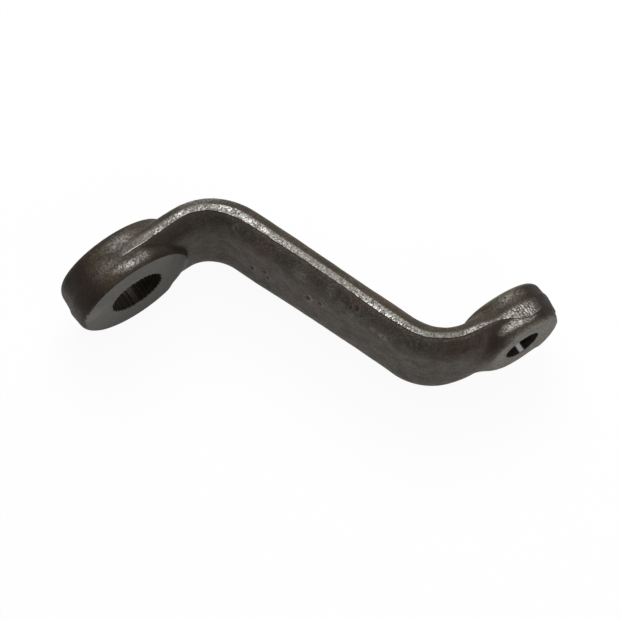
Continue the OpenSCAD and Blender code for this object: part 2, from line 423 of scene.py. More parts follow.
on_land = ((place >= across) & (place < across + land_rows)) | (place >= 2 * across + land_rows + 1)
add_quads(loops[:-1], loops[1:], around[1:], around[:-1], np.where(on_land, TORN, SCALE))

# The bores and faced eyes
# Both eyes were faced flat on each side, the small one a little out of square. The big one was broached
# with serrations for the steering shaft, with a smooth master land at each quarter; the small one was
# reamed to the taper of a stud.
tooth_count, master_step = 36, 9
tip_r, tooth_depth = shaft_bore["r_mm"], 0.75
groove_mouth, groove_side, groove_root = 3.6, 2.3, 1.0
stud_large, stud_taper, taper_points = 20.4, 8.0, 120
chamfer = 0.35
bore_rows = 8
front_wedge, back_wedge = 0.7, 0.4
wedge_inside, wedge_in, wedge_out = 5, 6, 10
low_rise, low_rise_wide, low_rise_reach, low_rise_in = 1.0, 20, 26, 18


def serrated_outline():
    """Angles and radii once around the broached bore."""
    half_pitch = 180 / tooth_count
    flank = (groove_root, groove_side, groove_mouth)
    angle, radius = [], []
    for tooth in range(tooth_count):
        master = tooth % master_step == 0
        for turn in (*(-place for place in flank[::-1]), 0, *flank, half_pitch):
            depth = np.interp(abs(turn), [groove_root, groove_mouth], [tooth_depth, 0])
            angle.append(math.radians(tooth * 360 / tooth_count + turn))
            radius.append(tip_r + (0 if master else depth))
    return np.array(angle), np.array(radius)


def add_strip(outer, outer_angle, inner, inner_angle, finish):
    """Joins two rings with different numbers of points by triangles."""
    outer, inner = np.r_[outer, outer[0]].tolist(), np.r_[inner, inner[0]].tolist()
    outer_angle = np.r_[outer_angle, outer_angle[0] + 2 * math.pi]
    inner_angle = np.r_[inner_angle, inner_angle[0] + 2 * math.pi]
    i = j = 0
    while i < len(outer) - 1 or j < len(inner) - 1:
        if j == len(inner) - 1 or (i < len(outer) - 1 and outer_angle[i + 1] <= inner_angle[j + 1]):
            faces.append([outer[i], outer[i + 1], inner[j]])
            i += 1
        else:
            faces.append([outer[i], inner[j + 1], inner[j]])
            j += 1
        finishes.append(finish)


for name, eye in eye_sizes.items():
    if name == "big":
        bore_finish = BROACHED
        angle, front_r = serrated_outline()
        back_r = front_r
    else:
        bore_finish = REAMED
        angle = np.linspace(0, 2 * math.pi, taper_points, endpoint=False)
        front_r = np.full(len(angle), stud_large / 2)
        back_r = front_r - small_thick / stud_taper / 2
    rows = np.linspace(eye["front"] - chamfer, chamfer - eye["back"], bore_rows + 1)
    depth = np.r_[eye["front"], rows, -eye["back"]]
    share = (eye["front"] - depth) / (eye["front"] + eye["back"])
    radius = front_r[None] * (1 - share[:, None]) + back_r[None] * share[:, None]
    radius[[0, -1]] += chamfer
    bore_s = on_path(eye, radius * np.cos(angle))
    tube = add_points(np.stack([bore_s, radius * np.sin(angle), depth[:, None] + 0 * radius, bore_s], -1))
    ahead = np.roll(tube, -1, 1)
    row_finish = np.full((len(depth) - 1, 1), bore_finish)
    row_finish[[0, -1]] = eye["face_finish"]
    add_quads(tube[:-1], tube[1:], ahead[1:], ahead[:-1], row_finish)
    spoke_angle = eye_spokes(eye)[0]
    turn = np.searchsorted(angle, spoke_angle[0] % (2 * math.pi))
    ring_angle = np.r_[angle[turn:], angle[:turn] + 2 * math.pi]
    ring_angle = ring_angle + 2 * math.pi * round((spoke_angle[0] - ring_angle[0]) / (2 * math.pi))
    for front, row in ((True, 0), (False, -1)):
        ring = np.roll(tube[row], -turn)
        add_strip(skins[name, front][:, 0], spoke_angle, ring, ring_angle, eye["face_finish"])

s, z, n, along = np.concatenate(layout).T
on_small = s > path_end / 2
rho = np.where(on_small, np.hypot(s - path_end, z) - eye_sizes["small"]["face"],
               np.hypot(s, z) - eye_sizes["big"]["face"])
wedge = np.where(n > 0, front_wedge, -back_wedge) * (path_end - s) / small_r
low_corner = fall(z, 0, low_rise_wide) * rise(s, path_end - low_rise_reach, low_rise_in)
wedge = wedge + np.where(n > 0, low_rise * low_corner, 0)
wedge = wedge * rise(np.abs(n), wedge_inside, wedge_in) * fall(rho, wedge_out, wedge_out)
n = n + np.where(on_small, wedge, 0)
places = arm_point(s, z, n)

forging = bpy.data.meshes.new("pitman_arm_forging")
forging.from_pydata((places / 1000).tolist(), [], faces)
forging.polygons.foreach_set("material_index", finishes)
forging.validate()
arm = bpy.data.objects.new("forged_arm", forging)
bpy.context.scene.collection.objects.link(arm)
bpy.context.view_layer.objects.active = arm
bpy.ops.object.mode_set(mode="EDIT")
bpy.ops.mesh.select_all(action="SELECT")
bpy.ops.mesh.normals_make_consistent(inside=False)
bpy.ops.object.mode_set(mode="OBJECT")
forging.polygons.foreach_set("use_smooth", [True] * len(forging.polygons))

# The marks of the forge
# Dies, tongs and scale leave the skin slightly wavy, with a few dents in the strut where scale was
# struck in. The torn land is rough, steel gathered a little beside the bends, and the dies met out of
# line round the ends of the eyes.
wave_high, wave_size = 0.16, 13
ripple_high, ripple_size = 0.06, 4.5
tear_high, tear_size = 0.08, 1.5
nick_high, nick_size = 0.048, 0.9
calm_at, calm_long = 112, 34
rim_run = 3
# Dents as s, z, radius and depth.
dents = [(83, -4, 1.7, 0.4), (91, 1.5, 1.7, 0.4), (93, -3, 1.7, 0.4), (118.5, 6.5, 2.2, 0.6),
         (126, 9, 1.9, 0.5), (143.5, 27, 1.2, 0.25), (147, 28.5, 1.4, 0.3), (150.5, 26, 1.2, 0.2),
         (69.5, 28.5, 1.5, 0.12), (165, 20, 1.6, 0.15)]
dent_tall, deepest = 1.7, 0.6
lip_at, lip_wide, lip_high = 1.15, 0.35, 0.25
least_pit, least_lip = 0.4, 0.3
# Swells as s, half length, upper or lower half, front or back, and height.
swells = [(80, 24, -1, 1, 0.75), (44, 11, -1, 1, -0.4), (188, 15, -1, 1, 0.65), (92, 34, 1, -1, 0.45),
          (214, 10, 1, -1, 0.35)]
swell_z, swell_z_in = 8, 16
swell_n, swell_n_in = -2, 4
step_run = 0.8
small_step, small_step_n, front_share = 0.45, 8.2, 0.6
small_step_start, small_step_in = 250, 8
step_back, step_back_in = -4, 3
big_step, big_step_n = 0.32, 0.4
big_step_start, big_step_in, big_step_rim = -22, 16, 2
sharp_edge = math.radians(32)

point_kinds = np.zeros((len(s), REAMED + 1), bool)
for polygon, kind in zip(faces, finishes):
    point_kinds[polygon, kind] = True
machined = point_kinds[:, TURNED:].any(1) | (rho < 0)
only_torn = point_kinds[:, TORN] & ~point_kinds[:, SCALE]


def hump(value, middle, over):
    """Bell-shaped share, 1 where a value is at the middle."""
    return np.exp(-(((value - middle) / over) ** 2))


def rough(size, shift):
    """Smooth noise over the arm, from -1 to 1, with marks of about that size in millimetres."""
    return np.array([noise.noise(Vector(p / size + shift)) for p in places])


wave = wave_high * rough(wave_size, shift=3.1) + ripple_high * rough(ripple_size, shift=8.7)
coarse = 1 - hump(along, calm_at, calm_long)
torn = (1 + coarse) * (tear_high * rough(tear_size, shift=1.3) + nick_high * rough(nick_size, shift=6.1))
move = np.where(only_torn, torn, wave) * rise(rho, 0, rim_run)
# Painted shade inside the dents, and a painted highlight on the lit side of their lips.
dent_shade, lit_lip = np.zeros(len(s)), np.zeros(len(s))
for dent_s, dent_z, dent_r, deep in dents:
    off = np.hypot(s - dent_s, (z - dent_z) / dent_tall) / dent_r
    hollow = np.where(n > 0, np.clip(1 - off**2, 0, 1) ** 2, 0)
    lip = np.where(n > 0, hump(off, lip_at, lip_wide), 0)
    share = deep / deepest
    lit_side = ease(0.5 + (s - dent_s) / dent_r)
    dent_shade = np.maximum(dent_shade, hollow * (least_pit + (1 - least_pit) * share))
    lit_lip = np.maximum(lit_lip, lip * (least_lip + (1 - least_lip) * share) * lit_side)
    move = move - deep * hollow + lip_high * deep * lip
for swell_s, long, half, facing, high in swells:
    share = hump(s, swell_s, long) * rise(half * z, swell_z, swell_z_in)
    move = move + high * share * rise(facing * n, swell_n, swell_n_in)
past_leaf = rise(along, small_step_start, small_step_in) * rise(rho, 0, step_run)
behind_step = rise(n, step_back, step_back_in) * fall(n, small_step_n + step_run / 2, step_run)
before_step = rise(n, small_step_n, step_run)
move = move + small_step * past_leaf * (behind_step - front_share * before_step)
big_end = fall(along, big_step_start, big_step_in) * rise(rho, 0, big_step_rim)
move = move + big_step * big_end * (rise(n, big_step_n, step_run) - fall(n, big_step_n, step_run))
move = np.where(machined, 0, move)
outward = np.zeros(len(s) * 3)
forging.vertex_normals.foreach_get("vector", outward)
forging.vertices.foreach_set("co", ((places + outward.reshape(-1, 3) * move[:, None]) / 1000).ravel())
forging.update()
forging.set_sharp_from_angle(angle=sharp_edge)

# The finish of the steel
# The skin is dark mill scale over steel, browner on the back and on the walls of the eyes, with the
# scale knocked off in a few places, and with highlights, glints and shade painted into its colour. What
# each place shows is kept with the mesh as named amounts.
patch_edge = 1.15
# Where a painted highlight streaks the small bore: its angle round the bore and its reach to either side.
streak_angle, streak_left, streak_right = math.radians(264), math.radians(7), math.radians(10)
# Worn patches that carry painted highlights, and painted glints, as edge place, n, half length, half
# height and amount.
worn_and_highlight_patches = [
    (-5, 6.8, 7, 2.6, 0.5), (-0.5, 8.0, 8, 2.8, 0.7), (7, 7.6, 8, 3.2, 0.3), (2, -5.5, 12, 4.6, 0.3),
    (48, -5, 14, 3.0, 0.27), (1, -5.0, 5, 2.5, 0.2), (-12, 2.0, 12, 5.5, 0.13), (-45, 12, 12, 0.9, 0.4),
    (-47, 1, 6, 12, 0.12), (230, 7.0, 9, 2.8, 0.8), (233.5, 7.9, 5, 2.2, 0.95), (226.5, 6.8, 5, 2.6, 0.36),
    (239, 9.0, 6, 1.5, 0.5), (237, -6.3, 12, 3.6, 0.26), (235, -6.2, 6, 2.2, 0.3)]
painted_strip_glints = [
    (160, 1.9, 22, 1.2, 1.0), (172, 1.4, 9, 1.0, 0.8), (2, 1.7, 8, 0.8, 0.6), (20.5, 1, 3, 1.2, 0.7),
    (35, -1, 4, 1.4, 0.6), (62, -0.8, 10, 1.8, 1.0), (74, 0.4, 9, 1.8, 0.9), (84, 0, 6, 1.5, 0.8),
    (100, 0.2, 16, 1.6, 0.4), (211, -1.2, 8, 1.8, 0.6)]
# Scuffs on the front as s, z, radius and amount.
scuffs = [(69.5, 28.5, 3, 0.16), (72, 26, 2, 0.16), (112, 26, 6, 0.24), (130.5, 28, 4, 0.18),
          (138, 24, 4, 0.16), (145, 21, 4, 0.15), (158.5, 21, 3, 0.2), (165, 20, 4, 0.3),
          (119.5, 8, 3, 0.15)]


def keep_amount(name, amount):
    """Keeps one number from 0 to 1 for each point of the forging, for the materials to read."""
    kept = forging.attributes.new(name, "FLOAT", "POINT")
    kept.data.foreach_set("value", np.clip(amount, 0, 1).astype(np.float32))


def patches(shapes):
    """Soft-edged patches on the upper side of the arm."""
    most = np.zeros(len(s))
    for patch_along, patch_n, long, high, amount in shapes:
        off = np.hypot((along - patch_along) / long, (n - patch_n) / high)
        most = np.maximum(most, np.where(z > 0, amount * ease(patch_edge - off), 0))
    return most


# Scale knocked off and painted highlights, painted shade in the dents and a painted highlight on the
# lit side of their lips.
worn_and_lit = patches(worn_and_highlight_patches)
for scuff_s, scuff_z, scuff_r, amount in scuffs:
    off = np.hypot(s - scuff_s, z - scuff_z) / scuff_r
    worn_and_lit = np.maximum(worn_and_lit, np.where(n > 0, amount * ease(patch_edge - off), 0))
keep_amount("wear_and_highlight", worn_and_lit)
keep_amount("dent_shade", dent_shade)
keep_amount("lit_lip", lit_lip)

# The torn land, its painted glints, the painted shadow and grime at its foot and the painted highlight
# along its first edge.
border = point_kinds[:, SCALE] & point_kinds[:, TORN]
step_foot = np.zeros(len(s))
for quad, kind in zip(faces, finishes):
    if kind == SCALE and border[quad].any():
        step_foot[quad] = 1
on_leaf = rise(along, 226, over=12) * (z > 0)
from_back = n + np.interp(along, *np.transpose(upper_back))
sheared = np.where(z > 0, ease(from_back / (1.9 + 2 * on_leaf) + 0.12), 1)
sheared = sheared * rise(along, -3.5, over=3) * fall(along, 250, over=9)
dulled = 1 - 0.4 * hump(along, 193, over=12)
sheared = sheared * dulled * (0.28 + 0.72 * rise(along, 2, over=30))
keep_amount("coarse", coarse)
# Painted glints on the torn land.
keep_amount("painted_glint", patches(painted_strip_glints))
# Painted shadow and grime in a dark line at the foot of the land's step.
keep_amount("foot_grime_and_shadow", step_foot * (n > 0) * rise(along, -1, over=3) * fall(along, 249, over=8))
# A painted highlight along the first stretch of the land's front border.
first_edge = rise(along, -2, over=2) * fall(along, 26, over=16)
keep_amount("edge_highlight", border * (n > 0) * (z > 0) * first_edge)
keep_amount("leaf", on_leaf)
keep_amount("shear", sheared)

# Brown bloom on the back, the walls of the eyes and both bends.
by_eye = fall(rho, 8, over=7)
eye_wall = by_eye * rise(np.abs(n), 0.5, over=1.5)
first_bend = 0.75 * fall(s, 84, over=24)
second_bend = 0.5 * rise(s, 180, over=15) * fall(z, 10, over=15)
keep_amount("brown", np.maximum.reduce([fall(n, 1.5, over=4), 0.8 * eye_wall, first_bend, second_bend]))

# Painted shade round the ends of the eyes, in the hollows, under and along the edges and on the back
# rim, and on the turned face, where it darkens towards the bar and the lower side.
small_turn = np.arctan2(z, path_end - s)
big_outside = fall(along, -10, over=18) * rise(along, -47, over=10)
small_outside = rise(along, path_end + 2, over=14)
outer_wall = by_eye * np.maximum(big_outside, small_outside)
big_neck = 0.75 * rise(s, 6, over=12) * eye_wall * (n > 1.5) * (s < path_1 + 8) * (z > 0)
small_neck = 1.1 * hump(small_turn, 0.85, over=0.34) * hump(rho, 3.8, over=4) * on_small * (n > 2)
first_hollow = 0.3 * hump(s, 54, over=18) * (n > 2)
second_hollow = 0.55 * hump(s, 203, over=16) * rise(z, 8, over=14) * (n > 2)
high_edge = 0.6 * rise(z, 20, over=8) * rise(s, 4, over=10) * fall(s, path_1 + 12, over=16) * (n > 1.5)
low_edge = 0.5 * fall(z, 4 - half_width(s), over=3) * (n > 1)
back_rim = 0.45 * fall(n, -7.5, over=3) * fall(s, 16, over=14) * rise(z, 0, over=10)
shaded = np.maximum.reduce([outer_wall, big_neck, small_neck, first_hollow + second_hollow,
                            high_edge, low_edge, back_rim])
face_shade = 0.3 + 0.7 * rise(0.5 * s - 0.85 * z, -12, over=36) + 0.8 * rise(s, 17, over=14)
face_shade = 0.76 * np.minimum(face_shade, 1) + 0.24 * rise(s, 26, over=3.5)
keep_amount("shade", np.where(point_kinds[:, TURNED], face_shade, shaded))

# The small eye's ground faces, running out softly towards the bar, and a painted highlight streak in its
# bore.
towards_bar = bar_side(small_turn, eye_sizes["small"])
run_out = 0.6 * towards_bar * fall(small_turn, 0.45, over=0.6)
on_face = 1 - (towards_bar - run_out) * rise(rho, -6, over=6)
on_rim = np.maximum(run_out * fall(rho, 5, over=5), (1 - towards_bar) * fall(rho, 1.6, over=1.6))
small_face = on_small & ~point_kinds[:, REAMED] & (np.abs(n) > 8)
keep_amount("ground", np.where(small_face, np.where(rho < 0.01, on_face, on_rim), 0))
bore_turn = small_turn % (2 * math.pi)
streak_half = np.where(bore_turn < streak_angle, streak_left, streak_right)
keep_amount("bore_highlight", np.exp(-(((bore_turn - streak_angle) / streak_half) ** 4)) * rise(n, 3, over=5))


def add_node(tree, kind, settings, inputs):
    """Places a node; an input given as a socket is linked, any other is set on its socket."""
    made = tree.nodes.new(kind)
    for key, value in settings.items():
        setattr(made, key, value)
    for key, value in inputs.items():
        socket = next(entry for entry in made.inputs if key in (entry.identifier, entry.name))
        if isinstance(value, bpy.types.NodeSocket):
            tree.links.new(value, socket)
        else:
            socket.default_value = value
    return made


def mixed(tree, share, first, second):
    """Colour between two colours by a share."""
    return add_node(tree, "ShaderNodeMix", {"data_type": "RGBA"},
                    {"Factor_Float": share, "A_Color": first, "B_Color": second}).outputs[2]


def ranged(tree, value, low, high, out_low=0, out_high=1):
    """Value carried smoothly from one range to another."""
    inputs = {"Value": value, "From Min": low, "From Max": high, "To Min": out_low, "To Max": out_high}
    return add_node(tree, "ShaderNodeMapRange", {"interpolation_type": "SMOOTHSTEP"}, inputs).outputs[0]


def combined(tree, operation, first, second):
    """Two values put together by an operation."""
    return add_node(tree, "ShaderNodeMath", {"operation": operation},
                    {"Value": first, "Value_001": second}).outputs[0]


def times(tree, first, second):
    """One value times another."""
    return combined(tree, "MULTIPLY", first, second)


def amount_of(tree, name):
    """One of the amounts that are kept with the mesh."""
    return add_node(tree, "ShaderNodeAttribute", {"attribute_name": name}, {}).outputs["Fac"]


def clouds(tree, place, per_metre, detail, roughness):
    """Soft clouds, from 0 to 1, about so many to a metre."""
    look = {"Vector": place, "Scale": per_metre, "Detail": detail, "Roughness": roughness}
    return add_node(tree, "ShaderNodeTexNoise", {}, look).outputs["Fac"]


# Grain of the steel in blotches, a finer mottle, grains and specks.
mottles_per_blotch, speck_high = 3.7, 0.35
grain = bpy.data.node_groups.new("steel_grain", "ShaderNodeTree")
for label, usual in (("Blotches per Metre", 50), ("Grains per Metre", 700), ("Shift", 0)):
    grain.interface.new_socket(label, in_out="INPUT", socket_type="NodeSocketFloat").default_value = usual
for label in ("Blotch", "Mottle", "Grain", "Speck", "Relief"):
    grain.interface.new_socket(label, in_out="OUTPUT", socket_type="NodeSocketFloat")
given = grain.nodes.new("NodeGroupInput").outputs
where = grain.nodes.new("ShaderNodeTexCoord").outputs["Object"]
moved = add_node(grain, "ShaderNodeVectorMath", {"operation": "ADD"},
                 {"Vector": where, "Vector_001": given["Shift"]}).outputs[0]
mottles = times(grain, given["Blotches per Metre"], mottles_per_blotch)
fine = clouds(grain, moved, given["Grains per Metre"], detail=3, roughness=0.7)
cells = add_node(grain, "ShaderNodeTexVoronoi", {"feature": "F1"},
                 {"Vector": moved, "Scale": given["Grains per Metre"], "Randomness": 1})
speck = add_node(grain, "ShaderNodeSeparateColor", {}, {"Color": cells.outputs["Color"]}).outputs["Red"]
put_out = {
    "Blotch": clouds(grain, moved, given["Blotches per Metre"], detail=4, roughness=0.6),
    "Mottle": clouds(grain, moved, mottles, detail=3, roughness=0.65),
    "Grain": fine,
    "Speck": speck,
    "Relief": combined(grain, "ADD", fine, times(grain, speck, speck_high)),
}
given_out = grain.nodes.new("NodeGroupOutput").inputs
for label, value in put_out.items():
    grain.links.new(value, given_out[label])


def finish(name, blotches, grains, shift, settings):
    """A steel finish with its grain group; gives the node tree, its shader and the group's outputs."""
    made = bpy.data.materials.new(name)
    made.use_nodes = True
    tree = made.node_tree
    shader = tree.nodes["Principled BSDF"]
    for key, value in settings.items():
        shader.inputs[key].default_value = value
    placed = add_node(tree, "ShaderNodeGroup", {"node_tree": grain},
                      {"Blotches per Metre": blotches, "Grains per Metre": grains, "Shift": shift})
    forging.materials.append(made)
    return tree, shader, placed.outputs


def feed(tree, shader, changing):
    """Links to a finish's shader what changes over the surface."""
    for key, value in changing.items():
        tree.links.new(value, shader.inputs[key])


def raise_grain(tree, shader, height, strength, distance):
    """Gives a finish its fine relief."""
    bump = add_node(tree, "ShaderNodeBump", {},
                    {"Height": height, "Strength": strength, "Distance": distance})
    feed(tree, shader, {"Normal": bump.outputs["Normal"]})


# Colour of the mill scale, grey to red in blotches, browner by one kept amount and darkened by the kept
# painted shade.
grey_scale, red_scale = (0.086, 0.0755, 0.059, 1), (0.092, 0.0585, 0.0455, 1)
brown_scale, shade_scale = (0.06, 0.044, 0.023, 1), (0.02, 0.0135, 0.0105, 1)
dark_blotch, dark_mottle = (0.03, 0.026, 0.021, 1), (0.032, 0.026, 0.020, 1)
dark_grain, light_grain = (0.022, 0.018, 0.0145, 1), (0.19, 0.172, 0.145, 1)
shade_deep = 0.9
scale_skin = tree = bpy.data.node_groups.new("scale_skin", "ShaderNodeTree")
for label in ("Blotch", "Mottle", "Grain", "Brown", "Shade"):
    tree.interface.new_socket(label, in_out="INPUT", socket_type="NodeSocketFloat")
tree.interface.new_socket("Colour", in_out="OUTPUT", socket_type="NodeSocketColor")
given = tree.nodes.new("NodeGroupInput").outputs
bloom = times(tree, ranged(tree, given["Blotch"], 0.44, 0.62),
              ranged(tree, given["Brown"], 0, 1, 0.8, 0.65))
dark = times(tree, ranged(tree, given["Blotch"], 0.38, 0.54, 1, 0),
             ranged(tree, given["Brown"], 0, 1, 0.3, 0.6))
skin = mixed(tree, bloom, grey_scale, red_scale)
skin = mixed(tree, ranged(tree, given["Brown"], 0, 1, 0, 0.5), skin, brown_scale)
skin = mixed(tree, dark, skin, dark_blotch)
skin = mixed(tree, ranged(tree, given["Mottle"], 0.38, 0.6, 0.36, 0), skin, dark_mottle)
skin = mixed(tree, ranged(tree, given["Grain"], 0.36, 0.58, 0.6, 0), skin, dark_grain)
skin = mixed(tree, ranged(tree, given["Grain"], 0.56, 0.74, 0, 0.35), skin, light_grain)
# Painted shade laid over the skin.
skin = mixed(tree, times(tree, given["Shade"], shade_deep), skin, shade_scale)
tree.links.new(skin, tree.nodes.new("NodeGroupOutput").inputs["Colour"])


def scale_colour(tree, made):
    """The mill scale's colour group placed in a finish and fed from its grain and kept amounts."""
    fed = {"Brown": amount_of(tree, "brown"), "Shade": amount_of(tree, "shade")}
    fed.update({label: made[label] for label in ("Blotch", "Mottle", "Grain")})
    return add_node(tree, "ShaderNodeGroup", {"node_tree": scale_skin}, fed).outputs["Colour"]


# Mill scale, bare and speckled where it was knocked off and where highlights are painted, coarse and
# sandy on the small eye's ground faces, with painted shade in the dents, a painted highlight on their
# lips, and painted shadow and grime at the foot of the torn land.
sand_dark, sand_light = (0.092, 0.084, 0.073, 1), (0.225, 0.207, 0.182, 1)
bare_and_highlight_steel, lip_highlight_steel = (0.5, 0.48, 0.435, 1), (0.19, 0.176, 0.155, 1)
grime_and_shadow_black, dent_shade_black = (0.011, 0.010, 0.009, 1), (0.009, 0.008, 0.007, 1)
scale_sheen = {"Specular IOR Level": 0.14, "Specular Tint": (1, 0.975, 0.89, 1)}
tree, scale, made = finish("mill_scale", blotches=46, grains=850, shift=0.0, settings=scale_sheen)
sand = add_node(tree, "ShaderNodeGroup", {"node_tree": grain},
                {"Blotches per Metre": 90, "Grains per Metre": 1300, "Shift": 2.3}).outputs
sandy = mixed(tree, ranged(tree, sand["Relief"], 0.45, 0.95), sand_dark, sand_light)
worn_and_lit = amount_of(tree, "wear_and_highlight")
lifted = times(tree, times(tree, worn_and_lit, worn_and_lit), 0.12)
patch_speckle = combined(tree, "ADD", sand["Relief"], lifted)
wear_and_highlight_share = times(tree, worn_and_lit, ranged(tree, patch_speckle, 0.5, 0.95, 0.08, 1.7))
wear_and_highlight_share = times(tree, wear_and_highlight_share, ranged(tree, sand["Mottle"], 0.35, 0.55, 0.75, 1))
skin = mixed(tree, amount_of(tree, "ground"), scale_colour(tree, made), sandy)
# Bare steel where scale was knocked off, and painted highlights on the walls of the eyes.
skin = mixed(tree, wear_and_highlight_share, skin, bare_and_highlight_steel)
# Painted highlight on the lit side of the dents' lips.
skin = mixed(tree, ranged(tree, amount_of(tree, "lit_lip"), 0.2, 0.9, 0, 0.6), skin, lip_highlight_steel)
# Painted shadow and grime at the foot of the torn land's step.
skin = mixed(tree, ranged(tree, amount_of(tree, "foot_grime_and_shadow"), 0.3, 1, 0, 0.8), skin, grime_and_shadow_black)
# Painted shade inside the dents.
skin = mixed(tree, ranged(tree, amount_of(tree, "dent_shade"), 0.12, 0.5, 0, 0.8), skin, dent_shade_black)
feed(tree, scale, {"Base Color": skin, "Metallic": times(tree, wear_and_highlight_share, 0.45),
                   "Roughness": ranged(tree, made["Mottle"], 0.35, 0.65, 0.62, 0.54)})
relief = combined(tree, "ADD", made["Relief"], times(tree, made["Mottle"], 0.5))
raise_grain(tree, scale, relief, strength=0.4, distance=0.0004)

# Torn flash, bright sheared steel with dark pits, drawn into fine lines on the leaf, with painted glints
# on its grains and a painted highlight along its first edge.
torn_dark, torn_light = (0.085, 0.079, 0.069, 1), (0.39, 0.373, 0.335, 1)
torn_even, torn_mottle = (0.23, 0.218, 0.192, 1), (0.13, 0.122, 0.107, 1)
painted_glint_white, edge_highlight_steel = (0.85, 0.835, 0.79, 1), (0.8, 0.78, 0.72, 1)
leaf_fleck, leaf_line = (0.66, 0.625, 0.55, 1), (0.07, 0.061, 0.049, 1)
torn_sheen = {"Specular IOR Level": 0.4}
tree, torn_steel, made = finish("torn_flash", blotches=70, grains=1300, shift=0.31, settings=torn_sheen)
where = tree.nodes.new("ShaderNodeTexCoord").outputs["Object"]
lines = add_node(tree, "ShaderNodeTexWave", {"wave_type": "BANDS", "bands_direction": "X"},
                 {"Vector": where, "Scale": 190, "Distortion": 5, "Detail": 3, "Detail Scale": 2})
drawn = times(tree, amount_of(tree, "leaf"), lines.outputs["Fac"])
painted_shine = times(tree, amount_of(tree, "painted_glint"), ranged(tree, made["Relief"], 0.5, 0.9))
fleck = times(tree, amount_of(tree, "leaf"), ranged(tree, made["Relief"], 0.58, 0.9, 0, 0.85))
skin = mixed(tree, ranged(tree, made["Relief"], 0.45, 0.95), torn_dark, torn_light)
skin = mixed(tree, ranged(tree, amount_of(tree, "coarse"), 0, 0.8, 0.5, 0), skin, torn_even)
skin = mixed(tree, ranged(tree, made["Mottle"], 0.36, 0.62, 0.25, 0), skin, torn_mottle)
# Painted glints on the land's grains.
skin = mixed(tree, painted_shine, skin, painted_glint_white)
skin = mixed(tree, fleck, skin, leaf_fleck)
skin = mixed(tree, ranged(tree, drawn, 0.45, 0.85, 0, 0.75), skin, leaf_line)
skin = mixed(tree, ranged(tree, amount_of(tree, "shear"), 0, 1, 1, 0), skin, scale_colour(tree, made))
# Painted highlight along the land's first edge.
skin = mixed(tree, ranged(tree, amount_of(tree, "edge_highlight"), 0.3, 0.9, 0, 0.85), skin, edge_highlight_steel)
metal = times(tree, amount_of(tree, "shear"), ranged(tree, made["Grain"], 0.35, 0.65, 0.3, 0.6))
feed(tree, torn_steel, {"Base Color": skin, "Metallic": metal,
                        "Roughness": ranged(tree, made["Speck"], 0, 1, 0.62, 0.4)})
relief = combined(tree, "SUBTRACT", made["Relief"], drawn)
raise_grain(tree, torn_steel, relief, strength=0.6, distance=0.0005)

# Turned face of the big eye, cool grey, with a faint trace of the tool, lighter where wear and painted
# highlights are kept, and with painted shade towards the bar and its lower side.
face_dull, face_clear = (0.135, 0.132, 0.114, 1), (0.155, 0.151, 0.131, 1)
face_mottle, tool_line = (0.075, 0.072, 0.064, 1), (0.06, 0.058, 0.051, 1)
face_grain, face_spark = (0.055, 0.053, 0.047, 1), (0.26, 0.255, 0.23, 1)
face_bare_and_highlight, face_shadow_colour = (0.34, 0.335, 0.31, 1), (0.03, 0.0285, 0.0245, 1)
face_sheen = {"Specular IOR Level": 0.12, "Specular Tint": (1, 0.975, 0.9, 1)}
tree, turned_steel, made = finish("turned_face", blotches=60, grains=1100, shift=0.57, settings=face_sheen)
where = tree.nodes.new("ShaderNodeTexCoord").outputs["Object"]
lines = add_node(tree, "ShaderNodeTexWave", {"wave_type": "RINGS", "rings_direction": "Y"},
                 {"Vector": where, "Scale": 420, "Distortion": 6, "Detail": 3, "Detail Scale": 4})
tool_marks = lines.outputs["Fac"]
face_painted_shade = amount_of(tree, "shade")
skin = mixed(tree, ranged(tree, made["Blotch"], 0.35, 0.7), face_dull, face_clear)
skin = mixed(tree, ranged(tree, made["Mottle"], 0.3, 0.6, 0.2, 0), skin, face_mottle)
skin = mixed(tree, ranged(tree, tool_marks, 0.3, 0.9, 0, 0.22), skin, tool_line)
skin = mixed(tree, ranged(tree, made["Grain"], 0.36, 0.6, 0.6, 0), skin, face_grain)
skin = mixed(tree, ranged(tree, made["Grain"], 0.58, 0.72, 0, 0.35), skin, face_spark)
skin = mixed(tree, times(tree, amount_of(tree, "wear_and_highlight"), 0.6), skin, face_bare_and_highlight)
# Painted shade on the face, which also takes away its metal sheen.
skin = mixed(tree, face_painted_shade, skin, face_shadow_colour)
feed(tree, turned_steel, {"Base Color": skin, "Metallic": ranged(tree, face_painted_shade, 0.6, 1, 0.1, 0),
                          "Roughness": ranged(tree, tool_marks, 0, 1, 0.5, 0.58)})
relief = combined(tree, "ADD", made["Grain"], times(tree, tool_marks, 0.25))
raise_grain(tree, turned_steel, relief, strength=0.2, distance=0.0002)

# Broached bore, dark with dried cutting oil.
oil_dark, oil_brown = (0.03, 0.024, 0.019, 1), (0.06, 0.045, 0.035, 1)
oil_sheen = {"Metallic": 0.6}
tree, broached_steel, made = finish("broached_bore", blotches=90, grains=600, shift=1.1, settings=oil_sheen)
skin = mixed(tree, ranged(tree, made["Blotch"], 0.4, 0.65), oil_dark, oil_brown)
feed(tree, broached_steel, {"Base Color": skin,
                            "Roughness": ranged(tree, made["Grain"], 0.3, 0.7, 0.4, 0.55)})
raise_grain(tree, broached_steel, made["Grain"], strength=0.15, distance=0.0002)

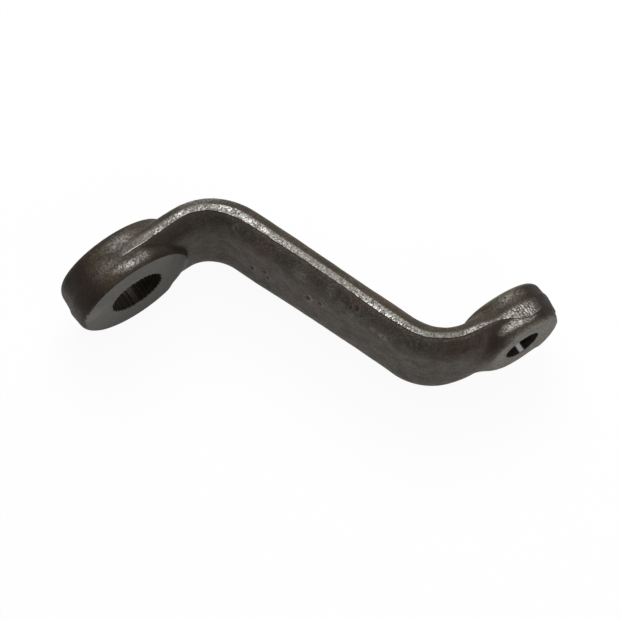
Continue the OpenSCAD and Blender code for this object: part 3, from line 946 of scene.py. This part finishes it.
# Reamed taper, dark, with a painted highlight streaking its lower wall.
taper_dark, taper_brown = (0.03, 0.026, 0.022, 1), (0.085, 0.073, 0.062, 1)
streak_highlight_white = (0.97, 0.985, 0.985, 1)
tree, reamed_steel, made = finish("reamed_taper", blotches=90, grains=900, shift=1.37, settings={})
highlit_streak = times(tree, ranged(tree, amount_of(tree, "bore_highlight"), 0.05, 0.95),
               ranged(tree, made["Grain"], 0.3, 0.5, 0.85, 1))
skin = mixed(tree, ranged(tree, made["Blotch"], 0.4, 0.65), taper_dark, taper_brown)
# Painted highlight streak on the bore's lower wall.
skin = mixed(tree, highlit_streak, skin, streak_highlight_white)
feed(tree, reamed_steel, {"Base Color": skin, "Metallic": ranged(tree, highlit_streak, 0, 1, 0.7, 0),
                          "Roughness": ranged(tree, made["Grain"], 0.3, 0.7, 0.25, 0.4)})
raise_grain(tree, reamed_steel, made["Grain"], strength=0.1, distance=0.0001)

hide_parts("pitman_arm")
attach(arm, "root")

# The studio
# A plain white table under soft overhead light, seen from above and in front as in a parts catalogue.
# The table lies at the lowest point of the arm, and shows white to the camera and in the steel.
half_table = 2.0
table_white = (0.9, 0.9, 0.9, 1)
shown_white = 0.94
lamps = [("softbox", 1.0, 18, (0.45, 0.5, 1.1)), ("front_fill", 0.8, 3.2, (0.1, -1.1, 0.75))]
lamp_aim = Vector((0.08, -0.07, 0))
world_grey = (0.22, 0.22, 0.22, 1)

table_z = min(cad_box[0].z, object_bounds()[0].z)
table_mesh = bpy.data.meshes.new("table")
table_corners = [(x * half_table, y * half_table, table_z) for x, y in ((-1, -1), (1, -1), (1, 1), (-1, 1))]
table_mesh.from_pydata(table_corners, [], [(0, 1, 2, 3)])
table = bpy.data.objects.new("table", table_mesh)
bpy.context.scene.collection.objects.link(table)
white = bpy.data.materials.new("white_table")
white.use_nodes = True
tree = white.node_tree
board = tree.nodes["Principled BSDF"]
board.inputs["Base Color"].default_value = table_white
board.inputs["Roughness"].default_value = 0.9
board.inputs["Specular IOR Level"].default_value = 0
rays = tree.nodes.new("ShaderNodeLightPath").outputs
mirrored = combined(tree, "ADD", rays["Is Glossy Ray"], rays["Is Transmission Ray"])
seen = combined(tree, "ADD", rays["Is Camera Ray"], mirrored)
glow = add_node(tree, "ShaderNodeEmission", {}, {"Strength": 1.0})
lit_board = add_node(tree, "ShaderNodeMixShader", {},
                     {"Fac": times(tree, seen, shown_white),
                      "Shader": board.outputs[0], "Shader_001": glow.outputs[0]})
tree.links.new(lit_board.outputs[0], tree.nodes["Material Output"].inputs["Surface"])
table_mesh.materials.append(white)

for name, size, power, stand_at in lamps:
    lamp_data = bpy.data.lights.new(name, "AREA")
    lamp_data.size = size
    lamp_data.energy = power
    lamp = bpy.data.objects.new(name, lamp_data)
    lamp.location = stand_at
    lamp.rotation_euler = (lamp_aim - Vector(stand_at)).to_track_quat("-Z", "Y").to_euler()
    bpy.context.scene.collection.objects.link(lamp)

world = bpy.data.worlds.new("studio")
world.use_nodes = True
world.node_tree.nodes["Background"].inputs["Color"].default_value = world_grey
bpy.context.scene.world = world

# Camera
# Placed by matching the arm's outline, bores and flash to the photograph. The offset is where the
# middle of the big bore lies from the camera, right, down and ahead, in millimetres.
azimuth, elevation, roll = math.radians(-39.7292), math.radians(70.0256), math.radians(4.8593)
focal_px, picture_px = 2828.7, 620
half_pixel = 0.5 / picture_px
offset = Vector((-97.906, -18.73, 1488.84))
back = Vector((math.sin(azimuth) * math.cos(elevation), -math.cos(azimuth) * math.cos(elevation),
               math.sin(elevation)))
level_right = Vector((math.cos(azimuth), math.sin(azimuth), 0))
level_up = back.cross(level_right)
right = math.cos(roll) * level_right + math.sin(roll) * level_up
up = math.cos(roll) * level_up - math.sin(roll) * level_right
eye_point = -(right * offset.x - up * offset.y - back * offset.z) / 1000
camera_data = bpy.data.cameras.new("camera")
camera_data.sensor_width = 36
camera_data.lens = focal_px / picture_px * camera_data.sensor_width
camera_data.shift_x = -half_pixel
camera_data.shift_y = half_pixel
camera = bpy.data.objects.new("camera", camera_data)
camera.matrix_world = Matrix.Translation(eye_point) @ Matrix((right, up, back)).transposed().to_4x4()
bpy.context.scene.collection.objects.link(camera)
bpy.context.scene.camera = camera
bpy.context.scene.view_settings.view_transform = "Standard"
